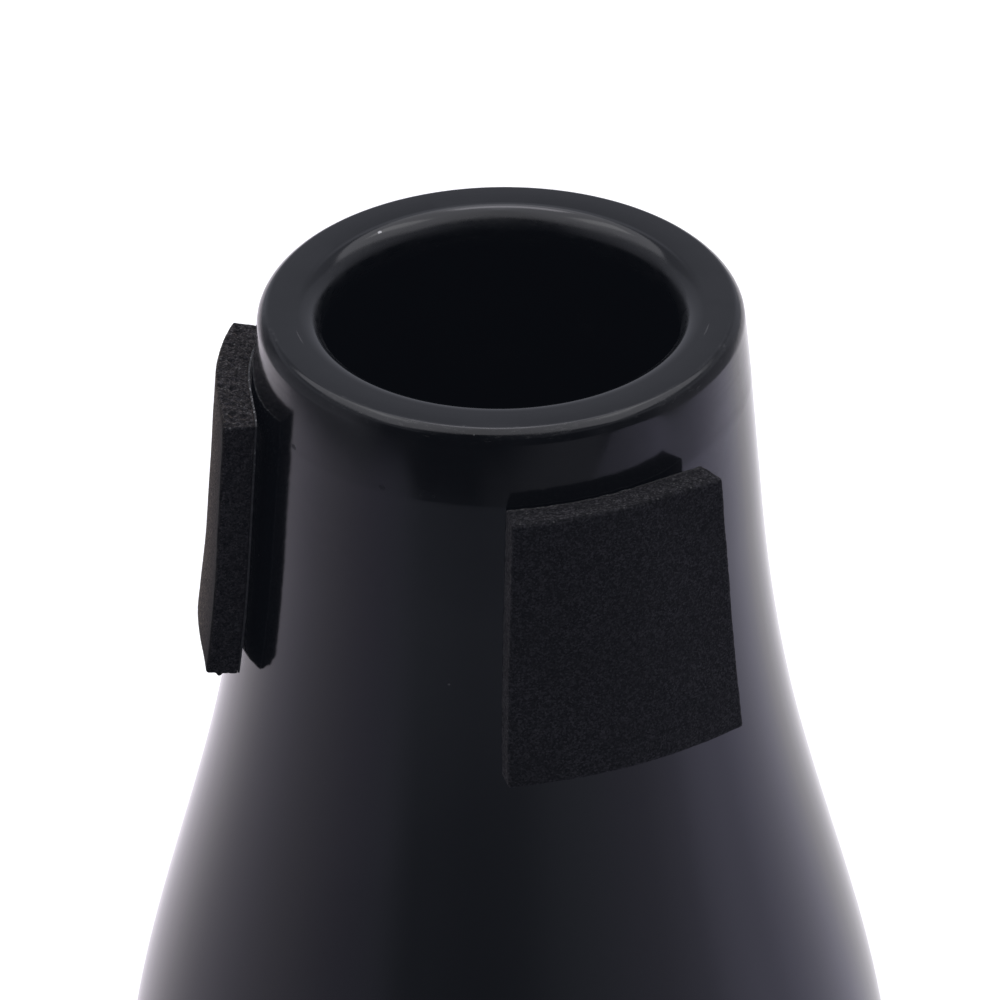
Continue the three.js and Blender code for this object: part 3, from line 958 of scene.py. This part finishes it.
def floor_material():
    """Pale floor. For all but camera rays it fades towards -Y, as the photo's reflections show."""
    material, g = new_material("pale_floor")
    place = g.add("ShaderNodeTexCoord", out=3)
    x, y, _ = g.split(place)
    azimuth = azimuth_of(g, x, y)
    distance = flat_length(g, x, y)
    behind = g.math("POWER", behind_share(g, x, y), FLOOR_CURVE)
    level = g.math("ADD", g.math("MULTIPLY", behind, FLOOR_RISE), FLOOR_FRONT)

    # The table falls off in front of the object
    fall = g.math("ADD", *(g.ramp(distance, near, far, 0.0, loss) for near, far, loss in FLOOR_FALLS))
    level = g.product(level, g.rest(g.product(dark_share(g, azimuth), fall)))

    # Some sides are paler than others, and each has its own tint
    level = g.product(level, g.steps(azimuth, FLOOR_FIRST, FLOOR_STEPS))
    far_left = g.product(g.ramp(distance, *FAR_LEFT_FROM), *g.window(azimuth, *FAR_LEFT_SECTOR))
    level = g.product(level, g.rest(g.math("MULTIPLY", far_left, FAR_LEFT_LOSS)))
    green = g.math("MULTIPLY", level, g.steps(azimuth, GREEN_FIRST, GREEN_STEPS))
    blue = g.math("MULTIPLY", level, g.steps(azimuth, BLUE_FIRST, BLUE_STEPS))
    tinted = g.add("ShaderNodeCombineColor", {0: level, 1: green, 2: blue})

    camera, seen = seen_by(g)
    grain = g.ramp(g.noise(place, FLOOR_GRAIN_SCALE, 3.0), 0.3, 0.7, *FLOOR_GRAIN)
    colour = g.dimmed(g.mix(camera, tinted, grey(1.0)), grain)
    pale = g.add("ShaderNodeBsdfDiffuse", {"Color": g.dimmed(colour, FLOOR_ALBEDO)})
    strength = g.math("MULTIPLY", seen, FLOOR_GLOW)
    glow = g.add("ShaderNodeEmission", {"Color": colour, "Strength": strength})
    g.surface(g.add("ShaderNodeAddShader", {0: pale, 1: glow}))
    return material


def add_floor():
    mesh = bpy.data.meshes.new("floor")
    n = FLOOR_CELLS
    steps = np.linspace(-FLOOR_REACH, FLOOR_REACH, n + 1)
    verts = [(x, y, 0.0) for y in steps for x in steps]
    corners = [row * (n + 1) + column for row in range(n) for column in range(n)]
    mesh.from_pydata(verts, [], [(k, k + 1, k + n + 2, k + n + 1) for k in corners])
    mesh.materials.append(floor_material())
    floor = bpy.data.objects.new("floor", mesh)
    bpy.context.scene.collection.objects.link(floor)


def add_world():
    """White for the camera. Reflections and soft light come from a room that is darker towards -Y."""
    world = bpy.data.worlds.new("room")
    bpy.context.scene.world = world
    world.use_nodes = True
    g = Graph(world.node_tree)
    x, y, z = g.split(g.add("ShaderNodeTexCoord"))
    behind = behind_share(g, x, y)
    level = g.ramp(behind, *ROOM_TURN, ROOM_FRONT, ROOM_PALE)
    dark = g.math("MULTIPLY", dark_share(g, azimuth_of(g, x, y)), 1.0 - ROOM_DARK_SHARE)
    level = g.product(level, g.rest(dark))
    # A pale wall behind the object, seen in the far side of the lip
    wall = g.product(g.ramp(behind, *ROOM_WALL_BEHIND), g.ramp(z, *ROOM_WALL_FROM), ROOM_WALL)
    level = g.math("ADD", g.product(level, g.ramp(z, *ROOM_HIGH_FROM, 1.0, ROOM_HIGH_SHARE)), wall)
    camera, seen = seen_by(g)
    colour = g.tinted(g.add("ShaderNodeCombineColor", {0: level, 1: level, 2: level}), ROOM_TINT)
    colour = g.mix(camera, colour, grey(1.0))
    strength = g.math("ADD", g.math("MULTIPLY", seen, 1.0 - ROOM_SOFT), ROOM_SOFT)
    shader = g.add("ShaderNodeBackground", {"Color": colour, "Strength": strength})
    g.add("ShaderNodeOutputWorld", {"Surface": shader})


def add_card():
    """A curved dark card close round the rim, seen only in reflections. Its foot is soft."""
    turns = np.radians(np.linspace(*CARD_SECTOR, CARD_STEPS))
    n = len(turns)
    verts = [(CARD_RADIUS * math.sin(a), -CARD_RADIUS * math.cos(a), z)
             for z in CARD_HEIGHTS for a in turns]
    mesh = bpy.data.meshes.new("card")
    mesh.from_pydata(verts, [], [(k, k + 1, n + k + 1, n + k) for k in range(n - 1)])
    material, g = new_material("dark_card")
    x, y, z = g.split(g.add("ShaderNodeTexCoord", out=3))
    azimuth = azimuth_of(g, x, y)
    above = g.math("SUBTRACT", z, g.steps(azimuth, CARD_EDGE_FIRST, CARD_EDGE))
    above = g.math("DIVIDE", above, g.steps(azimuth, CARD_SOFT_FIRST, CARD_SOFT))
    veil = g.product(g.ramp(z, *VEIL_FOOT), *g.window(azimuth, *VEIL_SECTOR, VEIL_AFTER), VEIL_COVER)
    cover = g.product(g.math("MAXIMUM", g.ramp(above, 0.0, 1.0), veil), *g.window(azimuth, *CARD_SIDES))
    level = g.steps(azimuth, CARD_LEVEL_FIRST, CARD_LEVEL)
    # It is paler at the top left and in the lower middle, and darker along the top towards the right
    rise, sector, gain = CARD_PALE_TOP
    level = g.math("ADD", level, g.product(g.ramp(z, *rise), *g.window(azimuth, *sector), gain))
    fade, sector, gain = CARD_PALE_FOOT
    level = g.math("ADD", level, g.product(g.ramp(z, *fade, 1.0, 0.0), *g.window(azimuth, *sector), gain))
    rise, sector, loss = CARD_DARK_TOP
    high = g.product(g.ramp(z, *rise), *g.window(azimuth, *sector))
    level = g.product(level, g.rest(g.math("MULTIPLY", high, loss)))
    blue = g.math("MULTIPLY", level, CARD_BLUE)
    colour = g.add("ShaderNodeCombineColor", {0: level, 1: level, 2: blue})
    dark = g.add("ShaderNodeEmission", {"Color": colour, "Strength": 1.0})
    g.surface(g.add("ShaderNodeMixShader", {0: cover, 1: g.add("ShaderNodeBsdfTransparent"), 2: dark}))
    mesh.materials.append(material)
    add_screen("card", mesh, "glossy")


def add_screen(name, mesh, shown_to):
    """A piece of the stage that only one kind of ray sees."""
    screen = bpy.data.objects.new(name, mesh)
    for kind in ("camera", "diffuse", "glossy", "transmission", "volume_scatter", "shadow"):
        setattr(screen, "visible_" + kind, kind == shown_to)
    bpy.context.scene.collection.objects.link(screen)


def add_panel(name, centre, size, radiance, tint):
    """A soft rectangular lamp that hangs level and shines down."""
    lamp = bpy.data.lights.new(name, "AREA")
    lamp.color = tint
    lamp.shape = "RECTANGLE"
    lamp.size, lamp.size_y = size
    lamp.energy = radiance * math.pi * size[0] * size[1]
    panel = bpy.data.objects.new(name, lamp)
    panel.location = centre
    panel.visible_camera = False
    bpy.context.scene.collection.objects.link(panel)


def add_camera():
    """The camera at the photo's place, turned so that the rim's centre falls on its pixel."""
    elevation = math.radians(VIEW_ELEVATION)
    height = HEIGHT + VIEW_DISTANCE * math.sin(elevation)
    place = Vector((0.0, -VIEW_DISTANCE * math.cos(elevation), height)) * MM
    middle = IMAGE_SIZE / 2
    pitch = elevation + math.atan((middle - RIM_CENTRE_PIXEL[1]) / FOCAL_PIXELS)
    yaw = math.atan((RIM_CENTRE_PIXEL[0] - middle) / FOCAL_PIXELS)
    level = math.cos(pitch)
    forward = Vector((-math.sin(yaw) * level, math.cos(yaw) * level, -math.sin(pitch)))
    right = forward.cross(Vector((0.0, 0.0, 1.0))).normalized()
    up = right.cross(forward)
    cosine, sine = math.cos(math.radians(VIEW_ROLL)), math.sin(math.radians(VIEW_ROLL))
    right, up = cosine * right + sine * up, cosine * up - sine * right
    camera = bpy.data.objects.new("camera", bpy.data.cameras.new("camera"))
    camera.data.sensor_width = SENSOR_WIDTH
    camera.data.lens = FOCAL_PIXELS / IMAGE_SIZE * SENSOR_WIDTH
    camera.data.clip_start, camera.data.clip_end = CLIP_RANGE
    turn = Matrix((right, up, -forward)).transposed().to_4x4()
    camera.matrix_world = Matrix.Translation(place) @ turn
    bpy.context.scene.collection.objects.link(camera)
    bpy.context.scene.camera = camera
    add_haze(place, forward, right, up)


def add_haze(place, forward, right, up):
    """A clear pane at the photo's camera that adds a trace of light to everything seen through it."""
    corners = [place + forward * HAZE_AHEAD + right * HAZE_HALF * a + up * HAZE_HALF * b
               for a, b in ((-1, -1), (1, -1), (1, 1), (-1, 1))]
    mesh = bpy.data.meshes.new("haze")
    mesh.from_pydata([tuple(c) for c in corners], [], [(0, 1, 2, 3)])
    material, g = new_material("lens_haze")
    glow = g.add("ShaderNodeEmission", {"Color": HAZE_GLOW, "Strength": 1.0})
    g.surface(g.add("ShaderNodeAddShader", {0: g.add("ShaderNodeBsdfTransparent"), 1: glow}))
    mesh.materials.append(material)
    add_screen("haze", mesh, "camera")


# Scene

add_camera()
add_floor()
add_world()
add_card()
for name, panel in PANELS.items():
    add_panel(name, *panel)
bpy.context.scene.view_settings.view_transform = "Standard"

plastic = moulded_plastic("body_plastic")
turned_pieces = {
    "body_shell": (body_profile(), "shell_plastic"),
    "base_cap": (cap_profile(), "cap_plastic"),
}
for node, (profile, slot) in turned_pieces.items():
    solid = turned(node.replace("_", "") + "_fine", profile)
    solid.data.materials.append(plastic)
    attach(solid, BODY)
    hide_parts(node)

foam = foam_material("foam")
film = film_material("adhesive_film")
for node, pad in PADS.items():
    piece = foam_pad(node + "_foam", pad)
    piece.data.materials.append(foam)
    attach(piece, BODY)
    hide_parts(node)
    strip = film_strip(node + "_film", pad)
    strip.data.materials.append(film)
    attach(strip, BODY)
    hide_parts(node + "_adhesive")
